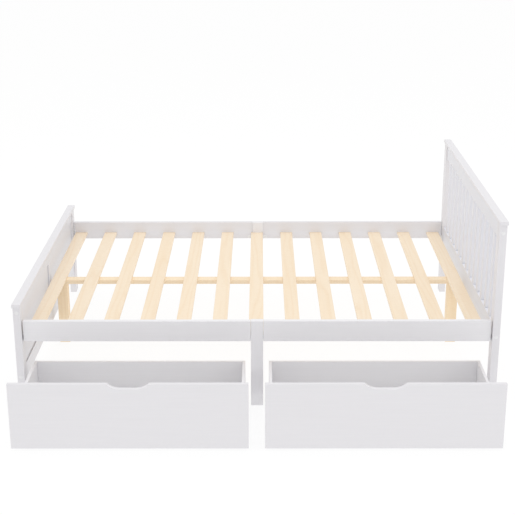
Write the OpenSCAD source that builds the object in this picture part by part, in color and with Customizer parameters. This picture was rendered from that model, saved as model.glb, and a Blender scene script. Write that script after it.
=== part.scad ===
/* [Mattress opening] */
// Clear length between the headboard posts and the footboard posts
inner_l = 1944; // [1880:1:2100]
// Clear width between the two side rails
inner_w = 1384; // [900:1:1600]

/* [Posts] */
// Post width along the bed
post_w = 30; // [24:1:45]
// Post depth across the bed
post_d = 57; // [44:1:80]
// How far the post faces stand proud of the side rails
post_proud = 11; // [4:1:16]
// Height of the headboard over its cap
head_h = 816; // [700:1:1000]
// Height of the footboard over its cap
foot_h = 464; // [440:1:560]

/* [Caps] */
// Cap thickness
cap_t = 15; // [12:1:24]
// Cap width along the bed
cap_w = 36; // [32:1:50]
// Cap overhang on the outer side of the posts
cap_out = 2; // [0:1:8]
// Cap overhang beyond the front and back post faces
cap_end = 14; // [0:1:20]
// Chamfer along the top edges of the caps
cap_chamfer = 1.5; // [0.5:0.5:4]

/* [Head and foot boards] */
// Thickness of the rails and the stile between the posts
board_t = 20; // [16:1:24]
// Height of the headboard top rail
head_top_h = 69; // [50:1:90]
// Height of the headboard lower rail
head_low_h = 91; // [60:1:110]
// Underside of the headboard lower rail above the floor
head_low_z = 270; // [230:1:290]
// Number of headboard slats
head_slats = 13; // [7:1:17]
// Headboard slat width
head_slat_w = 32; // [24:1:60]
// Headboard slat thickness
head_slat_t = 16; // [12:1:18]
// Tenon length at each end of a headboard slat
tenon = 10; // [6:1:16]
// Gap in its mortise on each side of a headboard slat, along the board
mortise_gap = 2; // [0.3:0.1:3]
// Height of the footboard top rail
foot_top_h = 53; // [44:1:80]
// Height of the footboard bottom rail
foot_low_h = 62; // [50:1:90]
// Underside of the footboard bottom rail above the floor
foot_low_z = 104; // [60:1:140]
// Width of the footboard centre stile
stile_w = 60; // [40:1:90]
// Thickness of the footboard panels
panel_t = 9; // [6:0.5:12]
// Depth of the panel grooves
groove_d = 6; // [4:1:8]

/* [Side rails] */
// Side rail height
rail_h = 89; // [70:1:120]
// Side rail thickness
rail_t = 22; // [18:1:28]
// Top of the side rails above the floor
rail_top = 382; // [340:1:420]
// Gap between a rail end and the post
rail_gap = 5; // [2:1:8]
// Gap between a rail end and the centre leg
leg_gap = 0.8; // [0.2:0.1:3]
// Centre leg width along the bed
leg_w = 51; // [40:1:70]
// How far the centre leg stands inside the rails
leg_proud = 11; // [6:1:18]

/* [Bed slats] */
// Slat width
slat_w = 62; // [50:1:80]
// Slat thickness
slat_t = 12; // [10:1:16]
// Distance from the posts to the centre of the first and last slat
slat_end = 45; // [36:1:90]
// Offset of the whole slat row towards the headboard
slat_shift = -4; // [-8:1:8]
// Drop from the top of the side rail to the top of the slats
slat_drop = 55; // [40:1:60]
// Depth of the slat pockets in the rails
pocket_d = 10; // [6:1:14]

/* [Centre beam] */
// Beam width across the bed
beam_w = 50; // [40:1:70]
// Beam thickness
beam_t = 19; // [16:1:30]
// Distance of the beam ends inside the posts
beam_end = 17; // [6:1:40]
// Side of the square beam legs
beam_leg = 48; // [36:1:60]
// Distance of the end legs from the beam ends
beam_leg_end = 10; // [0:1:200]

/* [Drawers] */
// Distance the drawers are pulled out
drawer_out = 404; // [0:1:460]
// Drawer front thickness
front_t = 18; // [15:1:22]
// Underside of the drawer fronts above the floor
front_z = 11; // [6:1:20]
// Gap between the drawer front and the side rail above it
front_top_gap = 8; // [4:1:16]
// Gap between a drawer front and the centre leg
front_leg_gap = 6.2; // [3:0.1:12]
// Gap between a drawer front and the bed post
front_post_gap = 14.5; // [6:0.5:24]
// Depth of the drawer box behind its front
box_d = 441; // [380:1:520]
// Box set-in from each end of the drawer front
box_inset = 18; // [12:1:40]
// Thickness of the box sides and back
box_t = 12; // [10:1:16]
// Underside of the box sides above the floor
box_z = 42; // [40:1:60]
// Height of the box sides
box_h = 140; // [110:1:190]
// Thickness of the drawer bottom
bottom_t = 9; // [6:1:12]
// Height of the drawer bottom above the lower edge of the sides
bottom_up = 9; // [6:1:20]
// Half length of the flat part of the finger scoop
scoop_flat = 30.5; // [20:0.5:60]
// Scoop depth
scoop_d = 21; // [14:1:30]
// Radius of the scoop ends
scoop_r = 72; // [30:1:90]

/* [Casters] */
// Wheel radius
wheel_r = 20; // [15:1:22]
// Wheel width
wheel_w = 14; // [10:1:18]
// Axle diameter
axle_d = 5; // [4:0.5:6]
// Distance of the wheels from the ends of the box
caster_x = 75; // [50:1:120]
// Distance of the wheels from the front and back of the box
caster_y = 60; // [45:1:100]

/* [Fixings] */
// Bolt diameter
bolt_d = 6; // [5:1:8]
// Bolt head diameter
head_d = 12; // [10:1:14]
// Depth of the bolt head pocket
head_pocket = 9; // [7:1:12]
// Diameter of the cover caps over the bolts
cover_d = 16; // [14:1:20]
// Bolt length
bolt_l = 85; // [80:1:90]
// Barrel nut diameter
nut_d = 10; // [8:1:12]
// Bracket plate thickness
plate_t = 2.5; // [2:0.5:4]

/* [Hidden] */
$fn = 48;

// fits
fit = 0.25;          // glued and pocketed joints, all round
groove_gap = 2;      // visible groove beside the panel at the bottom rail
wheel_play = 0.5;    // wheel side to fork
axle_fit = 0.05;     // axle in the wheel bore, radial
bolt_fit = 0.4;      // bolt in its bores, radial
mattress_gap = 5;    // most that anything stands in from the rails above the slats
eps = 1;             // cutters run past the faces they open

// main planes, bed centred on x = 0 and y = 0 before the frame shift
post_x = inner_l / 2;
rail_y = inner_w / 2;
rail_out = rail_y + rail_t;
post_y = rail_out + post_proud;
post_in = post_y - post_d;
board_w = 2 * post_in;
board_x = post_x + (post_w - board_t) / 2;
centre_x = post_x + post_w / 2;
rail_z = rail_top - rail_h;
rail_x = post_x - rail_gap;
rail_in = leg_w / 2 + leg_gap;
leg_in = rail_y - leg_proud;
leg_d = rail_out - leg_in;
head_top = head_h - cap_t;
foot_top = foot_h - cap_t;
cap_len = 2 * (post_y + cap_end);

// the drawers stand out at the front, so the whole part shifts back to stay centred
front_y = rail_out + drawer_out;
shift_y = (front_y - post_y - cap_end) / 2;

// bed slats and beam
slat_top = rail_top - slat_drop;
slat_z = slat_top - slat_t;
slats = 13;
slat_span = inner_l - 2 * slat_end;
slat_pitch = slat_span / (slats - 1);
slat_l = 2 * (rail_y + pocket_d - fit);
seat_y = rail_y - mattress_gap;
beam_z = slat_z - beam_t;
beam_l = inner_l - 2 * beam_end;
beam_leg_x = beam_l / 2 - beam_leg_end - beam_leg / 2;

// headboard slats
head_gap = (board_w - head_slats * head_slat_w) / (head_slats + 1);
head_pitch = head_slat_w + head_gap;
head_low_top = head_low_z + head_low_h;
head_top_z = head_top - head_top_h;

// footboard panels
foot_low_top = foot_low_z + foot_low_h;
foot_top_z = foot_top - foot_top_h;
panel_x = centre_x - panel_t / 2;
panel_in = stile_w / 2;
panel_z = foot_low_top - groove_d + fit;
panel_h = foot_top_z + groove_d - fit - panel_z;
panel_y = panel_in - groove_d + fit;
panel_w = post_in + groove_d - fit - panel_y;

// drawers, measured along the bed from its centre
front_x = leg_w / 2 + front_leg_gap;
front_w = post_x - front_post_gap - front_x;
front_h = rail_z - front_top_gap - front_z;
box_x = front_x + box_inset;
box_w = front_w - 2 * box_inset;
box_y = -front_y + front_t;
bottom_z = box_z + bottom_up;
scoop_x = front_x + front_w / 2;
scoop_z = front_z + front_h - scoop_d;

// casters
fork_t = 3;
fork_in = wheel_w + 2 * wheel_play;
fork_w = fork_in + 2 * fork_t;
fork_d = 16;
mount_t = 2.5;
mount_w = 40;
mount_d = 56;
hub_r = 8;
axle_r = axle_d / 2;

// fixings
bolt_head_z = [head_top - 37.5, head_low_z + head_low_h / 2 - 1.5];
bolt_foot_z = [foot_top - 26.5, foot_low_z + foot_low_h / 2];
bolt_r = bolt_d / 2;
nut_in = 23;
nut_wall = 4;
head_k = 6;
cover_t = 1.2;
plug_l = 2.4;
plug_gap = 0.15;
bracket_l = 52;
bracket_z = rail_z + 2;
bracket_h = slat_z - rail_z - 4;
leg_leaf = leg_proud - 1;

white = [0.93, 0.93, 0.94];
pine = [0.93, 0.82, 0.66];
steel = [0.62, 0.63, 0.65];
dark = [0.22, 0.22, 0.24];

// a box from its lowest corner
module block(x, y, z, w, d, h) translate([x, y, z]) cube([w, d, h]);

// a cylinder along y starting at y
module bar_y(x, y, z, r, l) translate([x, y, z]) rotate([-90, 0, 0]) cylinder(r = r, h = l);

// a cylinder along x starting at x
module bar_x(x, y, z, r, l) translate([x, y, z]) rotate([0, 90, 0]) cylinder(r = r, h = l);

// everything is drawn about the bed centre and moved into the frame here
module place() translate([0, shift_y, 0]) children();

// side is -1 for the footboard or the front, 1 for the headboard or the back
module mirror_x(side) mirror([side < 0 ? 1 : 0, 0, 0]) children();
module mirror_y(side) mirror([0, side < 0 ? 1 : 0, 0]) children();

// bores for one bolt that comes in from the outer face of a back post
module bolt_bore(z) {
  bar_y(centre_x, post_in - nut_in - 12, z, bolt_r + bolt_fit, post_d + nut_in + 12 + eps);
  bar_y(centre_x, post_y - head_pocket, z, head_d / 2 + bolt_fit, head_pocket + eps);
}

module nut_bore(z) {
  bar_x(board_x + nut_wall, post_in - nut_in, z, nut_d / 2 + fit, board_t - nut_wall + eps);
}

// post of a board: height h, bolts at the two heights, fy picks front or back
module post(side, fy, h, bolts) color(white) place() mirror_x(side) mirror_y(fy) difference() {
  block(post_x, post_in, 0, post_w, post_d, h);
  for (z = bolts) bolt_bore(z);
  if (side < 0) block(panel_x - fit, post_in - eps, panel_z - fit, panel_t + 2 * fit,
    groove_d + eps, panel_h + 2 * fit);
}

module cap(side, top) color(white) place() mirror_x(side)
  translate([post_x + post_w + cap_out - cap_w, cap_len / 2, top]) rotate([90, 0, 0])
  linear_extrude(cap_len) polygon([[0, 0], [cap_w, 0], [cap_w, cap_t - cap_chamfer],
    [cap_w - cap_chamfer, cap_t], [cap_chamfer, cap_t], [0, cap_t - cap_chamfer]]);

// rail between two posts with the bolt and nut bores at both ends
module board_rail(z, h, bolt_z) difference() {
  block(board_x, -post_in, z, board_t, board_w, h);
  for (s = [-1, 1]) mirror_y(s) {
    bolt_bore(bolt_z);
    nut_bore(bolt_z);
  }
}

function head_slat_y(i) = -post_in + head_gap + i * head_pitch;

module head_slat_set(grow, side) for (i = [0:head_slats - 1])
  block(centre_x - head_slat_t / 2 - grow, head_slat_y(i) - side,
    head_low_top - tenon + fit - grow, head_slat_t + 2 * grow, head_slat_w + 2 * side,
    head_top_z - head_low_top + 2 * (tenon - fit + grow));

module headboard_post_front() post(1, -1, head_top, bolt_head_z);
module headboard_post_back() post(1, 1, head_top, bolt_head_z);
module headboard_cap() cap(1, head_top);
module headboard_top_rail() color(white) place() difference() {
  board_rail(head_top_z, head_top_h, bolt_head_z[0]);
  head_slat_set(fit, mortise_gap);
}
module headboard_lower_rail() color(white) place() difference() {
  board_rail(head_low_z, head_low_h, bolt_head_z[1]);
  head_slat_set(fit, mortise_gap);
}
module headboard_slats() color(white) place() head_slat_set(0, 0);

module footboard_post_front() post(-1, -1, foot_top, bolt_foot_z);
module footboard_post_back() post(-1, 1, foot_top, bolt_foot_z);
module footboard_cap() cap(-1, foot_top);

// panel room in the rails and the stile, with the open groove on the bed side
module panel_groove() for (s = [-1, 1]) mirror_y(s)
  block(panel_x - fit, panel_y - fit, panel_z - fit, panel_t + 2 * fit,
    panel_w + 2 * fit, panel_h + 2 * fit);
module open_groove() for (s = [-1, 1]) mirror_y(s)
  block(panel_x - groove_gap, panel_in, foot_low_top - groove_d, panel_t,
    post_in - panel_in, groove_d + eps);

module footboard_top_rail() color(white) place() mirror_x(-1) difference() {
  board_rail(foot_top_z, foot_top_h, bolt_foot_z[0]);
  panel_groove();
}
module footboard_bottom_rail() color(white) place() mirror_x(-1) difference() {
  board_rail(foot_low_z, foot_low_h, bolt_foot_z[1]);
  panel_groove();
  open_groove();
}
module footboard_stile() color(white) place() mirror_x(-1) difference() {
  block(board_x, -stile_w / 2, foot_low_top, board_t, stile_w, foot_top_z - foot_low_top);
  panel_groove();
}
module footboard_panel(fy) color(white) place() mirror_x(-1) mirror_y(fy)
  block(panel_x, panel_y, panel_z, panel_t, panel_w, panel_h);
module footboard_panel_front() footboard_panel(-1);
module footboard_panel_back() footboard_panel(1);

function slat_x(i) = slat_shift - slat_span / 2 + i * slat_pitch;

module slat_body(i, grow) block(slat_x(i) - slat_w / 2 - grow, -slat_l / 2 - grow,
  slat_z - grow, slat_w + 2 * grow, slat_l + 2 * grow, slat_t + 2 * grow);

module side_rail(side, fy) color(white) place() difference() {
  mirror_x(side) mirror_y(fy) block(rail_in, rail_y, rail_z, rail_x - rail_in, rail_t, rail_h);
  for (i = [0:slats - 1]) slat_body(i, fit);
}
module front_rail_foot() side_rail(-1, -1);
module front_rail_head() side_rail(1, -1);
module back_rail_foot() side_rail(-1, 1);
module back_rail_head() side_rail(1, 1);

// the leg is cut back above the slats, so that the mattress passes it
module centre_leg(fy) color(white) place() difference() {
  mirror_y(fy) block(-leg_w / 2, leg_in, 0, leg_w, leg_d, rail_top);
  block(-leg_w / 2 - eps, -seat_y, slat_z + slat_t, leg_w + 2 * eps, 2 * seat_y, rail_top);
  block(-leg_w / 2 - eps, -slat_l / 2 - fit, slat_z - fit, leg_w + 2 * eps,
    slat_l + 2 * fit, slat_t + 2 * fit);
}
module centre_leg_front() centre_leg(-1);
module centre_leg_back() centre_leg(1);

module centre_beam() color(pine) place()
  block(-beam_l / 2, -beam_w / 2, beam_z, beam_l, beam_w, beam_t);
module beam_leg_at(x) color(pine) place()
  block(x - beam_leg / 2, -beam_leg / 2, 0, beam_leg, beam_leg, beam_z);
module beam_leg_foot() beam_leg_at(-beam_leg_x);
module beam_leg_middle() beam_leg_at(0);
module beam_leg_head() beam_leg_at(beam_leg_x);

module slat(i) color(pine) place() slat_body(i, 0);

// angle bracket in the inner corner between a post and a side rail
module post_bracket() {
  block(post_x - bracket_l, rail_y - plate_t, bracket_z, bracket_l, plate_t, bracket_h);
  block(post_x - plate_t, post_in + 1, bracket_z, plate_t, rail_y - post_in - 1, bracket_h);
}
// angle bracket in the inner corner between the centre leg and a side rail
module leg_bracket() {
  block(leg_w / 2, rail_y - plate_t, bracket_z, bracket_l / 2, plate_t, bracket_h);
  block(leg_w / 2, rail_y - leg_leaf, bracket_z, plate_t, leg_leaf, bracket_h);
}
module brackets() color(white) place()
  for (sx = [-1, 1], sy = [-1, 1]) mirror_x(sx) mirror_y(sy) {
    post_bracket();
    leg_bracket();
  }

// both boards: side picks the board, each with bolts at two heights, front and back
module at_bolts() {
  for (sy = [-1, 1]) mirror_y(sy) {
    for (z = bolt_head_z) translate([0, 0, z]) children();
    for (z = bolt_foot_z) mirror_x(-1) translate([0, 0, z]) children();
  }
}
module bolt_covers() color(white) place() at_bolts() {
  bar_y(centre_x, post_y, 0, cover_d / 2, cover_t);
  bar_y(centre_x, post_y - plug_l, 0, head_d / 2 + bolt_fit - plug_gap, plug_l + 0.1);
}
module frame_bolts() color(steel) place() at_bolts() {
  difference() {
    union() {
      bar_y(centre_x, post_y - head_pocket, 0, head_d / 2, head_k);
      bar_y(centre_x, post_y - head_pocket - bolt_l + head_k, 0, bolt_r, bolt_l - head_k);
    }
    translate([centre_x, post_y - head_pocket + 3, 0]) rotate([-90, 0, 0])
      cylinder(r = 3.4, h = head_k, $fn = 6);
  }
  difference() {
    bar_x(board_x + nut_wall + fit, post_in - nut_in, 0, nut_d / 2, board_t - nut_wall - 1);
    bar_y(centre_x, post_in - nut_in - nut_d, 0, bolt_r + bolt_fit, 2 * nut_d);
  }
}

// drawer front with the finger scoop; side is -1 for the footboard end
module drawer_front(side) color(white) place() mirror_x(side) difference() {
  block(front_x, -front_y, front_z, front_w, front_t, front_h);
  for (s = [-1, 1]) bar_y(scoop_x + s * scoop_flat, -front_y - eps, scoop_z + scoop_r,
    scoop_r, front_t + 2 * eps);
  block(scoop_x - scoop_flat, -front_y - eps, scoop_z, 2 * scoop_flat,
    front_t + 2 * eps, scoop_d + eps);
  drawer_bottom_cut();
}

// room for the drawer bottom, let into the front, the sides and the back
module drawer_bottom_cut() block(box_x + box_t - groove_d, box_y - groove_d, bottom_z - fit,
  box_w - 2 * (box_t - groove_d), box_d - box_t + 2 * groove_d, bottom_t + 2 * fit);

module drawer_side(side, x) color(white) place() mirror_x(side) difference() {
  block(x, box_y, box_z, box_t, box_d, box_h);
  drawer_bottom_cut();
}
module drawer_side_inner(side) drawer_side(side, box_x);
module drawer_side_outer(side) drawer_side(side, box_x + box_w - box_t);
module drawer_back(side) color(white) place() mirror_x(side) difference() {
  block(box_x + box_t, box_y + box_d - box_t, box_z, box_w - 2 * box_t, box_t, box_h);
  drawer_bottom_cut();
}
module drawer_bottom(side) color(white) place() mirror_x(side)
  block(box_x + box_t - groove_d + fit, box_y - groove_d + fit, bottom_z,
    box_w - 2 * (box_t - groove_d + fit), box_d - box_t + 2 * (groove_d - fit), bottom_t);

// caster positions: 1 and 2 at the front, 3 and 4 at the back
caster_xs = [box_x + caster_x, box_x + box_w - caster_x];
caster_ys = [box_y + caster_y, box_y + box_d - caster_y];
function wheel_pos(n) = [caster_xs[(n - 1) % 2], caster_ys[floor((n - 1) / 2)], wheel_r];

module caster() {
  block(-mount_w / 2, -mount_d / 2, bottom_z - mount_t - wheel_r, mount_w, mount_d, mount_t);
  for (s = [-1, 1]) mirror_x(s)
    block(fork_in / 2, -fork_d / 2, -axle_r - 3, fork_t, fork_d,
      bottom_z - mount_t - wheel_r + axle_r + 3);
  bar_x(-fork_w / 2 - 1.5, 0, 0, axle_r, fork_w + 3);
}
module drawer_casters(side) color(dark) place() mirror_x(side)
  for (n = [1:4]) translate(wheel_pos(n)) caster();
module wheel(side, n) color(dark) place() mirror_x(side) translate(wheel_pos(n)) difference() {
  union() {
    bar_x(-wheel_w / 2 + 1.5, 0, 0, wheel_r, wheel_w - 3);
    bar_x(-wheel_w / 2, 0, 0, wheel_r - 1.5, wheel_w);
  }
  bar_x(-wheel_w / 2 - eps, 0, 0, axle_r + axle_fit, wheel_w + 2 * eps);
  for (s = [-1, 1]) mirror_x(s) difference() {
    bar_x(wheel_w / 2 - 2, 0, 0, wheel_r - 4, 2 + eps);
    bar_x(wheel_w / 2 - 2 - eps, 0, 0, hub_r, 2 + 3 * eps);
  }
}

module drawer_foot_front() drawer_front(-1);
module drawer_foot_back() drawer_back(-1);
module drawer_foot_side_left() drawer_side_outer(-1);
module drawer_foot_side_right() drawer_side_inner(-1);
module drawer_foot_bottom() drawer_bottom(-1);
module drawer_foot_casters() drawer_casters(-1);
module drawer_head_front() drawer_front(1);
module drawer_head_back() drawer_back(1);
module drawer_head_side_left() drawer_side_inner(1);
module drawer_head_side_right() drawer_side_outer(1);
module drawer_head_bottom() drawer_bottom(1);
module drawer_head_casters() drawer_casters(1);

footboard_post_front();
footboard_post_back();
footboard_cap();
footboard_top_rail();
footboard_bottom_rail();
footboard_stile();
footboard_panel_front();
footboard_panel_back();
headboard_post_front();
headboard_post_back();
headboard_cap();
headboard_top_rail();
headboard_lower_rail();
headboard_slats();
front_rail_foot();
front_rail_head();
back_rail_foot();
back_rail_head();
centre_leg_front();
centre_leg_back();
centre_beam();
beam_leg_foot();
beam_leg_middle();
beam_leg_head();
slat(0);  // slat_01
slat(1);  // slat_02
slat(2);  // slat_03
slat(3);  // slat_04
slat(4);  // slat_05
slat(5);  // slat_06
slat(6);  // slat_07
slat(7);  // slat_08
slat(8);  // slat_09
slat(9);  // slat_10
slat(10);  // slat_11
slat(11);  // slat_12
slat(12);  // slat_13
brackets();
bolt_covers();
frame_bolts();
drawer_foot_front();
drawer_foot_back();
drawer_foot_side_left();
drawer_foot_side_right();
drawer_foot_bottom();
drawer_foot_casters();
wheel(-1, 1);  // wheel_foot_1
wheel(-1, 2);  // wheel_foot_2
wheel(-1, 3);  // wheel_foot_3
wheel(-1, 4);  // wheel_foot_4
drawer_head_front();
drawer_head_back();
drawer_head_side_left();
drawer_head_side_right();
drawer_head_bottom();
drawer_head_casters();
wheel(1, 1);  // wheel_head_1
wheel(1, 2);  // wheel_head_2
wheel(1, 3);  // wheel_head_3
wheel(1, 4);  // wheel_head_4
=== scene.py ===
"""White wooden bed frame with pine slats and two storage drawers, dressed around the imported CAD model."""

import math

import bmesh
import bpy
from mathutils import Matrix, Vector


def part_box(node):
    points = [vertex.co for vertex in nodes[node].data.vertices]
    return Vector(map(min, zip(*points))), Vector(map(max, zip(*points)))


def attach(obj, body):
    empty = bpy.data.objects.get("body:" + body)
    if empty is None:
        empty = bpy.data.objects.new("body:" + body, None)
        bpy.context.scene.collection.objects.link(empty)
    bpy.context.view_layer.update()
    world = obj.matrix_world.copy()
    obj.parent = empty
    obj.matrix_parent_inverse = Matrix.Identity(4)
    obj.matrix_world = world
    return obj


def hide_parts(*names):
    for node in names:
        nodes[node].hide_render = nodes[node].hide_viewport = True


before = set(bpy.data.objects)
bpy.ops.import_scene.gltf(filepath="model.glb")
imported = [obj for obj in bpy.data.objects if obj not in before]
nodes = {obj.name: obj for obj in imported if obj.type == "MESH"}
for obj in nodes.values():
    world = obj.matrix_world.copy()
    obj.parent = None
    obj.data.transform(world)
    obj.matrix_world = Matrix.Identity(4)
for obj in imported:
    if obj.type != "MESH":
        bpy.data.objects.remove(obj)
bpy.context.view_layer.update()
MM = 0.001
AXES = {"x": 0, "y": 1, "z": 2}
PLATE = 2.5 * MM  # sheet thickness of the brackets and the caster plates
COVER_T = 1.2 * MM  # the bolt covers stand this far out of the posts
SHARP_ANGLE = 35.0  # edges of the fittings bent further than this, in degrees, stay sharp
SCOOP_LOW = 0.25  # everything on a drawer front above this height belongs to its top edge and finger scoop
FLOOR_HALF = 60.0

# ---------------------------------------------------------------- node helpers


class Tree:
    """A material under construction: add() makes a node, fills its sockets and returns it."""

    def __init__(self, name):
        self.material = bpy.data.materials.new(name)
        self.material.use_nodes = True
        self.tree = self.material.node_tree
        self.shader = self.tree.nodes["Principled BSDF"]
        self.column = 0

    def add(self, kind, sockets=None, **settings):
        node = self.tree.nodes.new("ShaderNode" + kind)
        self.column -= 180
        node.location = (self.column, 0)
        for key, value in settings.items():
            setattr(node, key, value)
        for key, value in (sockets or {}).items():
            self.link(value, node.inputs[key])
        return node

    def link(self, value, socket):
        if isinstance(value, bpy.types.NodeSocket):
            self.tree.links.new(value, socket)
        else:
            socket.default_value = value

    def set(self, **sockets):
        for key, value in sockets.items():
            self.link(value, self.shader.inputs[key.replace("_", " ")])

    def maths(self, operation, a, b=0.0, c=0.0):
        node = self.add("Math", {0: a, 1: b, 2: c}, operation=operation)
        return node.outputs[0]

    def stretched(self, along, across, axis, offset=None):
        """Object coordinates scaled by `along` on the grain axis and `across` on the other two."""
        place = self.add("TexCoord").outputs["Object"]
        if offset is not None:
            shift = self.add("CombineXYZ", {0: offset, 1: offset, 2: offset})
            place = self.add("VectorMath", {0: place, 1: shift.outputs[0]}, operation="ADD").outputs[0]
        scale = [across] * 3
        scale[AXES[axis]] = along
        return self.add("Mapping", {"Vector": place, "Scale": scale}).outputs[0]

    def noise(self, vector, scale=1.0, detail=3.0, roughness=0.55, distortion=0.0):
        sockets = {"Vector": vector, "Scale": scale, "Detail": detail,
                   "Roughness": roughness, "Distortion": distortion}
        return self.add("TexNoise", sockets).outputs["Fac"]

    def ramp(self, factor, *stops):
        node = self.add("ValToRGB", {"Fac": factor})
        elements = node.color_ramp.elements
        while len(elements) < len(stops):
            elements.new(0.5)
        for element, (position, colour) in zip(elements, stops):
            element.position = position
            element.color = (*colour, 1.0)
        return node.outputs["Color"]

    def mix(self, factor, a, b, blend="MIX"):
        node = self.add("Mix", data_type="RGBA", blend_type=blend)
        for socket, value in ((node.inputs[0], factor), (node.inputs[6], a), (node.inputs[7], b)):
            if isinstance(value, tuple):
                value = (*value, 1.0)
            self.link(value, socket)
        return node.outputs[2]

    def span(self, value, low, high):
        """A 0 to 1 value stretched to run from low to high."""
        node = self.add("MapRange", {"Value": value, "To Min": low, "To Max": high})
        return node.outputs[0]

    def bump(self, height, distance, strength=1.0, under=None):
        sockets = {"Height": height, "Distance": distance, "Strength": strength}
        if under is not None:
            sockets["Normal"] = under
        return self.add("Bump", sockets).outputs[0]


# ---------------------------------------------------------------- materials

PAINT = (0.778, 0.769, 0.792)
# Painted light: a brighter copy of PAINT, lifted to cancel the shade that the drawers and frame throw on the
# front rail, centre legs and drawer backs and sides.
SHADE_LIFTED_PAINT = (0.832, 0.825, 0.846)
# Painted light: a bluer copy of PAINT for the headboard and footboard, cooled to cancel the warm light
# bounced onto them from the pine slats.
BOUNCE_COOLED_PAINT = (0.770, 0.778, 0.822)
PINE_LIGHT = (0.925, 0.800, 0.640)
PINE_WARM = (0.900, 0.745, 0.555)
PINE_LINE = (0.850, 0.650, 0.430)
# Painted light: deeper, more saturated pine tones standing for the warm light bounced between pine parts in
# the shade under the slats.
BOUNCE_SATURATED_PINE_PALE = (0.955, 0.795, 0.580)
BOUNCE_SATURATED_PINE_WARM = (0.945, 0.760, 0.520)


def white_paint(name, axis, tone=PAINT):
    """Satin white paint on pine: faint grain shows along `axis` under a fine roller stipple."""
    t = Tree(name)
    cloud = t.noise(t.stretched(1.6, 5.0, axis), detail=2.0)
    grain = t.noise(t.stretched(5.0, 150.0, axis), detail=5.0, roughness=0.6, distortion=0.4)
    stipple = t.noise(t.stretched(520.0, 520.0, axis), detail=2.0)
    colour = t.mix(cloud, tone, tuple(c * k for c, k in zip(tone, (0.993, 0.988, 0.985))))
    streak = t.ramp(grain, (0.35, (0.986, 0.986, 0.986)), (0.65, (1.0, 1.0, 1.0)))
    t.set(Base_Color=t.mix(1.0, colour, streak, "MULTIPLY"))
    t.set(Roughness=t.span(stipple, 0.38, 0.50))
    relief = t.bump(grain, 0.20 * MM, 0.30)
    t.set(Normal=t.bump(stipple, 0.06 * MM, 0.4, relief))
    t.set(IOR=1.47)
    return t.material


def natural_pine(name, axis, light=PINE_LIGHT, warm=PINE_WARM, line=PINE_LINE):
    """Planed pine: growth rings bent by a slow noise, fine fibres, cross flecks and a slow change of tone."""
    t = Tree(name)
    seed = t.maths("MULTIPLY", t.add("ObjectInfo").outputs["Random"], 7.0)
    slow = t.noise(t.stretched(0.9, 11.0, axis, seed), detail=2.0, roughness=0.45)
    split = t.add("SeparateXYZ", {0: t.stretched(0.0, 1.0, axis)}).outputs
    across, depth = [split[i] for i in range(3) if i != AXES[axis]]
    radial = t.maths("MULTIPLY_ADD", across, 150.0, t.maths("MULTIPLY", depth, 95.0))
    phase = t.maths("MULTIPLY_ADD", slow, 34.0, radial)
    wave = t.maths("MULTIPLY_ADD", t.maths("SINE", phase), 0.5, 0.5)
    late = t.maths("POWER", wave, 3.0)
    cloud = t.noise(t.stretched(0.7, 6.0, axis, seed), detail=2.0)
    fibre = t.noise(t.stretched(9.0, 620.0, axis, seed), detail=3.0, roughness=0.7)
    tone = t.mix(t.span(cloud, -0.35, 1.25), light, warm)
    ringed = t.mix(t.maths("MULTIPLY", late, 0.26), tone, line)
    streak = t.ramp(fibre, (0.30, (0.965, 0.960, 0.950)), (0.68, (1.0, 1.0, 1.0)))
    fleck = t.noise(t.stretched(210.0, 34.0, axis, seed), detail=2.0, roughness=0.6)
    figure = t.ramp(fleck, (0.36, (0.985, 0.968, 0.940)), (0.52, (1.0, 1.0, 1.0)))
    fibres = t.mix(1.0, ringed, streak, "MULTIPLY")
    t.set(Base_Color=t.mix(1.0, fibres, figure, "MULTIPLY"))
    t.set(Roughness=t.span(fibre, 0.46, 0.62))
    relief = t.bump(late, 0.10 * MM, 0.5)
    t.set(Normal=t.bump(fibre, 0.12 * MM, 0.35, relief))
    t.set(IOR=1.45)
    return t.material


def zinc_steel():
    """Zinc-plated steel: cool grey with a faint cloudy passivation and fine brushing."""
    t = Tree("zinc_steel")
    cloud = t.noise(t.stretched(60.0, 60.0, "x"), detail=4.0)
    brushed = t.noise(t.stretched(60.0, 2400.0, "x"), detail=2.0)
    t.set(Base_Color=t.mix(cloud, (0.56, 0.57, 0.60), (0.68, 0.68, 0.67)))
    t.set(Roughness=t.span(brushed, 0.26, 0.46))
    t.set(Normal=t.bump(brushed, 0.03 * MM, 0.3))
    t.set(Metallic=1.0)
    return t.material


def moulded_plastic(name, colour, other, grain, rough):
    """Moulded plastic: spark-eroded grain at `grain` bumps a metre and a slight drift in colour."""
    t = Tree(name)
    cloud = t.noise(t.stretched(40.0, 40.0, "x"), detail=2.0)
    pits = t.noise(t.stretched(grain, grain, "x"), detail=2.0)
    t.set(Base_Color=t.mix(cloud, colour, other))
    t.set(Roughness=t.span(pits, rough - 0.06, rough + 0.10))
    t.set(Normal=t.bump(pits, 0.05 * MM, 0.35))
    t.set(IOR=1.49)
    return t.material


paints = {axis: white_paint("white_paint_" + axis, axis) for axis in AXES}
# Shade-lifted copies of the white paint: painted light that brightens the parts standing in shade.
shade_lifted_paints = {axis: white_paint("shade_lifted_paint_" + axis, axis, SHADE_LIFTED_PAINT) for axis in AXES}
# Bounce-cooled copies of the white paint: painted light that cancels the warm bounce from the pine.
bounce_cooled_paints = {axis: white_paint("bounce_cooled_paint_" + axis, axis, BOUNCE_COOLED_PAINT) for axis in ("y", "z")}
pine_slat = natural_pine("pine_slat", "y")
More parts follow.
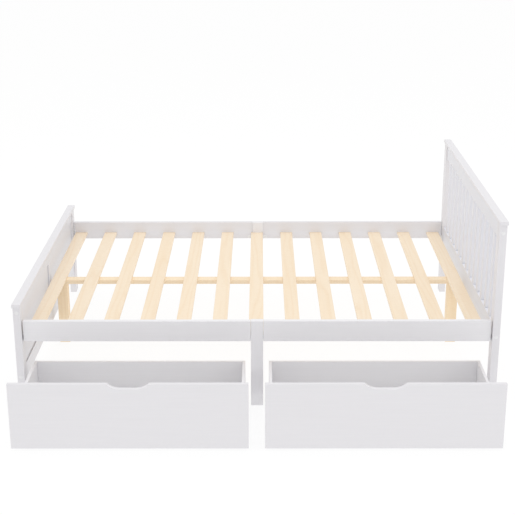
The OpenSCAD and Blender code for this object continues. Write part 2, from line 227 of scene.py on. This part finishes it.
# Painted light: the beam and leg pine take the more saturated tones of bounce light in shade.
pine_beam_bounce_saturated = natural_pine("pine_beam_bounce_saturated", "x", BOUNCE_SATURATED_PINE_PALE, PINE_WARM)
pine_leg_bounce_saturated = natural_pine("pine_leg_bounce_saturated", "z", BOUNCE_SATURATED_PINE_PALE, BOUNCE_SATURATED_PINE_WARM)
steel = zinc_steel()
cover_white = moulded_plastic("cover_white", (0.84, 0.84, 0.85), (0.82, 0.82, 0.82), 900.0, 0.30)
coated_white = moulded_plastic("coated_white", (0.83, 0.83, 0.84), (0.81, 0.81, 0.81), 1300.0, 0.40)
wheel_black = moulded_plastic("wheel_black", (0.030, 0.030, 0.032), (0.045, 0.044, 0.044), 700.0, 0.48)
tyre_grey = moulded_plastic("tyre_grey", (0.120, 0.120, 0.124), (0.150, 0.149, 0.148), 1100.0, 0.66)
board_white = moulded_plastic("board_white", (0.79, 0.79, 0.79), (0.76, 0.76, 0.755), 260.0, 0.42)

# ---------------------------------------------------------------- CAD nodes: edges and finish


def soften(node, radius, segments=3, corners=None):
    """Joins a CAD node's triangles into faces, then rounds its edges, or only those between `corners`."""
    faces = node.modifiers.new("faces", "DECIMATE")
    faces.decimate_type = "DISSOLVE"
    faces.angle_limit = math.radians(0.5)
    edge = node.modifiers.new("edge", "BEVEL")
    edge.width = radius
    edge.segments = segments
    edge.limit_method = "ANGLE"
    edge.angle_limit = math.radians(40)
    edge.miter_outer = "MITER_ARC"
    edge.harden_normals = True
    if corners:
        node.vertex_groups.new(name="corners").add(corners, 1.0, "REPLACE")
        edge.limit_method = "VGROUP"
        edge.vertex_group = "corners"


def outer_corners(node, above=None):
    """The vertices where two or more sides of a node's box meet, and any higher than `above`."""
    low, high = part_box(node.name)
    found = []
    for vert in node.data.vertices:
        sides = sum(abs(vert.co[i] - end[i]) < 1e-5 for i in range(3) for end in (low, high))
        if sides > 1 or (above is not None and vert.co.z > above):
            found.append(vert.index)
    return found


def finish_node(name, material, radius, outside_only=False, above=None):
    node = nodes[name]
    node.data.materials.clear()
    node.data.materials.append(material)
    weld = node.modifiers.new("weld", "WELD")
    weld.merge_threshold = 1e-5
    if radius:
        corners = outer_corners(node, above) if outside_only else None
        soften(node, radius, 3 if radius > 0.5 * MM else 2, corners)


def starting(*heads):
    return [name for name in sorted(nodes) if name.startswith(heads)]


for name in starting("headboard_post", "footboard_post"):
    finish_node(name, paints["z"], 1.6 * MM)
# Painted light: the front rail gets the brighter shade-lifted paint.
for name in starting("front_rail"):
    finish_node(name, shade_lifted_paints["x"], 1.6 * MM, outside_only=True)
for name in starting("back_rail"):
    finish_node(name, paints["x"], 1.6 * MM, outside_only=True)
# Painted light: the centre legs get the brighter shade-lifted paint.
for name in starting("centre_leg"):
    finish_node(name, shade_lifted_paints["z"], 1.6 * MM, outside_only=True)
for name in starting("headboard_cap", "footboard_cap"):
    finish_node(name, paints["y"], 0.6 * MM)
# Painted light: headboard and footboard parts get the bluer bounce-cooled paint.
for name in starting("headboard_slats", "footboard_stile", "footboard_panel"):
    finish_node(name, bounce_cooled_paints["z"], 1.2 * MM)
for name in starting("headboard_top", "headboard_lower", "footboard_top", "footboard_bottom"):
    finish_node(name, bounce_cooled_paints["y"], 1.4 * MM, outside_only=True)
for name in ("drawer_foot_front", "drawer_head_front"):
    finish_node(name, paints["x"], 1.6 * MM, outside_only=True, above=SCOOP_LOW)
# Painted light: the drawer backs and sides below get the brighter shade-lifted paint, against the shade
# inside the drawers.
for name in ("drawer_foot_back", "drawer_head_back"):
    finish_node(name, shade_lifted_paints["x"], 1.2 * MM, outside_only=True)
for name in starting("drawer_foot_side", "drawer_head_side"):
    finish_node(name, shade_lifted_paints["y"], 1.2 * MM, outside_only=True)
for name in starting("slat_"):
    finish_node(name, pine_slat, 1.4 * MM)
# Painted light: the beam legs and centre beam get the more saturated, bounce-tinted pine.
for name in starting("beam_leg"):
    finish_node(name, pine_leg_bounce_saturated, 1.8 * MM)
finish_node("centre_beam", pine_beam_bounce_saturated, 1.4 * MM)
for name in starting("drawer_foot_bottom", "drawer_head_bottom"):
    finish_node(name, board_white, 0)
for name in starting("drawer_foot_casters", "drawer_head_casters"):
    finish_node(name, steel, 0.3 * MM)
finish_node("brackets", coated_white, 0.3 * MM)
finish_node("frame_bolts", steel, 0)

# ---------------------------------------------------------------- small fittings


def islands(name):
    """The (lowest, highest) corners of each separate solid in a CAD node."""
    bm = bmesh.new()
    bm.from_mesh(nodes[name].data)
    bmesh.ops.remove_doubles(bm, verts=bm.verts, dist=1e-5)
    waiting = set(bm.verts)
    found = []
    for first in list(bm.verts):
        if first not in waiting:
            continue
        waiting.discard(first)
        group = [first]
        for vert in group:
            for edge in vert.link_edges:
                other = edge.other_vert(vert)
                if other in waiting:
                    waiting.discard(other)
                    group.append(other)
        low = [min(v.co[i] for v in group) for i in range(3)]
        high = [max(v.co[i] for v in group) for i in range(3)]
        found.append((Vector(low), Vector(high)))
    bm.free()
    return found


def turned(bm, centre, axis, profile, segments, closed=False, sides=None):
    """Turns (height, radius) points in mm round `axis`. Points listed in `sides` follow a hexagon instead."""
    axis = Vector(axis)
    first = axis.orthogonal().normalized()
    second = axis.cross(first)
    rings = []
    for number, (height, radius) in enumerate(profile):
        base = Vector(centre) + axis * height * MM
        if radius == 0:
            rings.append([bm.verts.new(base)])
            continue
        ring = []
        for step in range(segments):
            angle = 2 * math.pi * step / segments
            reach = radius
            if sides and number in sides:
                reach = radius / math.cos((angle + math.pi / 6) % (math.pi / 3) - math.pi / 6)
            outward = first * math.cos(angle) + second * math.sin(angle)
            ring.append(bm.verts.new(base + outward * reach * MM))
        rings.append(ring)
    pairs = list(zip(rings, rings[1:]))
    if closed:
        pairs.append((rings[-1], rings[0]))
    for a, b in pairs:
        for step in range(segments):
            after = (step + 1) % segments
            corners = [a[step % len(a)], a[after % len(a)], b[after % len(b)], b[step % len(b)]]
            corners = [v for i, v in enumerate(corners) if v not in corners[:i]]
            bm.faces.new(corners)


def rib(bm, centre, axis, angle, inner, outer, low, high, thick):
    """A radial rib from radius `inner` to `outer` and from `low` to `high` along `axis`, in mm."""
    axis = Vector(axis)
    first = axis.orthogonal().normalized()
    out = first * math.cos(angle) + axis.cross(first) * math.sin(angle)
    side = axis.cross(out)
    corners = {}
    for i, along in enumerate((low, high)):
        for j, reach in enumerate((inner, outer)):
            for k, half in enumerate((-thick / 2, thick / 2)):
                taper = 0.82 if j else 1.0
                place = Vector(centre) + (axis * along + out * reach + side * half * taper) * MM
                corners[i, j, k] = bm.verts.new(place)
    for fixed in range(3):
        for end in (0, 1):
            loop = []
            for a, b in ((0, 0), (0, 1), (1, 1), (1, 0)):
                key = [a, b]
                key.insert(fixed, end)
                loop.append(corners[tuple(key)])
            bm.faces.new(loop)


def piece(name, bm, material, body):
    """Makes a smooth-shaded object of `bm` that rides on `body`."""
    bmesh.ops.recalc_face_normals(bm, faces=bm.faces)
    mesh = bpy.data.meshes.new(name)
    bm.to_mesh(mesh)
    bm.free()
    mesh.materials.append(material)
    for polygon in mesh.polygons:
        polygon.use_smooth = True
    mesh.set_sharp_from_angle(angle=math.radians(SHARP_ANGLE))
    made = bpy.data.objects.new(name, mesh)
    bpy.context.scene.collection.objects.link(made)
    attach(made, body)
    return made


# outlines that are turned round an axis: (height, radius) in mm
COVER = [(1.7, 0), (1.66, 1.0), (1.52, 2.0), (1.2, 2.9), (0.8, 3.5), (0.45, 3.8), (0.4, 4.2), (0.6, 4.6),
         (0.68, 5.4), (0.68, 7.0), (0.55, 7.6), (0.2, 8.0), (0.0, 8.0), (0.0, 6.2), (-2.4, 6.1), (-2.4, 5.0),
         (-0.3, 5.0), (-0.3, 0)]
SCREW = [(0.55, 0), (0.55, 1.25), (1.55, 1.35), (1.75, 1.6), (1.55, 2.5), (0.95, 3.2), (0.25, 3.5),
         (0.0, 3.5), (0.0, 0)]
TYRE = [(-7.0, 15.4), (-7.0, 17.8), (-6.5, 19.0), (-5.4, 19.8), (-4.2, 20.0), (-1.1, 20.0), (-0.7, 19.4),
        (0.7, 19.4), (1.1, 20.0), (4.2, 20.0), (5.4, 19.8), (6.5, 19.0), (7.0, 17.8), (7.0, 15.4)]
CORE = [(-7.0, 2.6), (-7.0, 5.9), (-6.6, 6.4), (-2.2, 7.0), (-2.2, 13.2), (-6.2, 13.7), (-6.6, 14.1),
        (-6.6, 15.4), (6.6, 15.4), (6.6, 14.1), (6.2, 13.7), (2.2, 13.2), (2.2, 7.0), (6.6, 6.4), (7.0, 5.9),
        (7.0, 2.6)]


def cover_caps():
    """Domed snap-in covers with a shadow groove, one over each bolt head."""
    bm = bmesh.new()
    middle = sum(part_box("bolt_covers")[i][1] for i in (0, 1)) / 2
    for low, high in islands("bolt_covers"):
        centre = (low + high) / 2
        back = centre.y > middle
        centre.y = high.y - COVER_T if back else low.y + COVER_T
        turned(bm, centre, (0, 1 if back else -1, 0), COVER, 48)
    caps = piece("bolt_cover_caps", bm, cover_white, "bed")
    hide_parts("bolt_covers")


def bracket_screws():
    """Socket screws in both leaves of every corner bracket."""
    bm = bmesh.new()
    low_all, high_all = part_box("brackets")
    middle = [(low_all[i] + high_all[i]) / 2 for i in range(3)]
    for low, high in islands("brackets"):
        centre = (low + high) / 2
        back = centre.y > middle[1]
        face_y = high.y - PLATE if back else low.y + PLATE
        long_leaf = high.x - low.x > 40 * MM
        outer = (centre.x > middle[0]) == long_leaf
        corner, step = (high.x, -1) if outer else (low.x, 1)
        for reach in ((20, 40) if long_leaf else (15,)):
            place = (corner + step * reach * MM, face_y, centre.z)
            turned(bm, place, (0, -1 if back else 1, 0), SCREW, 24, sides=(0, 1, 2))
        if long_leaf:
            leaf_y = low.y + 9 * MM if back else high.y - 9 * MM
            turned(bm, (corner + step * PLATE, leaf_y, centre.z), (step, 0, 0), SCREW, 24, sides=(0, 1, 2))
    piece("bracket_screws", bm, coated_white, "bed")


def caster_screws(end):
    """Four screws up through each caster's plate."""
    bm = bmesh.new()
    for low, high in islands("drawer_%s_casters" % end):
        for x in (low.x + 5.5 * MM, high.x - 5.5 * MM):
            for y in (low.y + 7 * MM, high.y - 7 * MM):
                turned(bm, (x, y, high.z - PLATE), (0, 0, -1), SCREW, 24, sides=(0, 1, 2))
    piece("drawer_%s_caster_screws" % end, bm, steel, "drawer_" + end)


def caster_wheel(node):
    """A ribbed plastic core in a grooved rubber tyre, standing for the plain CAD wheel."""
    low, high = (Vector(corner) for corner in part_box(node))
    centre = (low + high) / 2
    bm = bmesh.new()
    turned(bm, centre, (1, 0, 0), TYRE, 72, closed=True)
    tyre = piece(node + "_tyre", bm, tyre_grey, node + "_spin")
    bm = bmesh.new()
    turned(bm, centre, (1, 0, 0), CORE, 72, closed=True)
    for number in range(8):
        for side in (-1, 1):
            rib(bm, centre, (1, 0, 0), number * math.pi / 4, 6.4, 13.8, side * 2.0, side * 5.4, 1.5)
    core = piece(node + "_core", bm, wheel_black, node + "_spin")
    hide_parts(node)
    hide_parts(node)


cover_caps()
bracket_screws()
for end in ("foot", "head"):
    caster_screws(end)
for name in starting("wheel_"):
    caster_wheel(name)

# ---------------------------------------------------------------- stage, light, camera

centre_y = sum(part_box("slat_07")[i][1] for i in (0, 1)) / 2


def stage_floor():
    """A plain white floor that glows a little, so it stays pale right to the edge of the view."""
    bm = bmesh.new()
    bmesh.ops.create_grid(bm, x_segments=8, y_segments=8, size=FLOOR_HALF)
    mesh = bpy.data.meshes.new("floor")
    bm.to_mesh(mesh)
    bm.free()
    floor = bpy.data.objects.new("floor", mesh)
    bpy.context.scene.collection.objects.link(floor)
    floor.location.z = -0.5 * MM
    t = Tree("floor_white")
    t.set(Base_Color=(0.16, 0.16, 0.16, 1.0), Roughness=0.9, Specular_IOR_Level=0.0)
    t.set(Emission_Color=(1.0, 1.0, 1.0, 1.0), Emission_Strength=0.85)
    mesh.materials.append(t.material)


def area_light(name, place, target, size, watts):
    data = bpy.data.lights.new(name, "AREA")
    data.shape = "DISK"
    data.size = size
    data.energy = watts
    lamp = bpy.data.objects.new(name, data)
    bpy.context.scene.collection.objects.link(lamp)
    lamp.location = place
    lamp.rotation_euler = (Vector(target) - Vector(place)).to_track_quat("-Z", "Y").to_euler()


def studio():
    world = bpy.data.worlds.new("studio")
    world.use_nodes = True
    backdrop = world.node_tree.nodes["Background"]
    backdrop.inputs["Color"].default_value = (1.0, 1.0, 1.0, 1.0)
    backdrop.inputs["Strength"].default_value = 0.86
    bpy.context.scene.world = world
    bpy.context.scene.view_settings.view_transform = "Standard"
    middle = (0.0, centre_y, 0.3)
    area_light("overhead", (0.0, centre_y, 4.6), middle, 5.0, 46.0)
    area_light("front", (0.0, centre_y - 9.0, 3.2), middle, 6.0, 21.0)
    area_light("left", (-7.5, centre_y - 3.5, 3.0), middle, 4.0, 38.0)
    area_light("right", (7.5, centre_y - 3.5, 3.0), middle, 4.0, 60.0)


def camera():
    """Stands at the middle of the long side, a little over eye height, looking down on the bed."""
    data = bpy.data.cameras.new("camera")
    data.sensor_width = 36.0
    data.lens = 80.78
    data.clip_end = 200.0
    eye = bpy.data.objects.new("camera", data)
    bpy.context.scene.collection.objects.link(eye)
    eye.location = (0.0140, centre_y - 5.142, 2.151)
    eye.rotation_euler = (math.radians(71.384), math.radians(0.088), math.radians(0.119))
    bpy.context.scene.camera = eye


stage_floor()
studio()
camera()
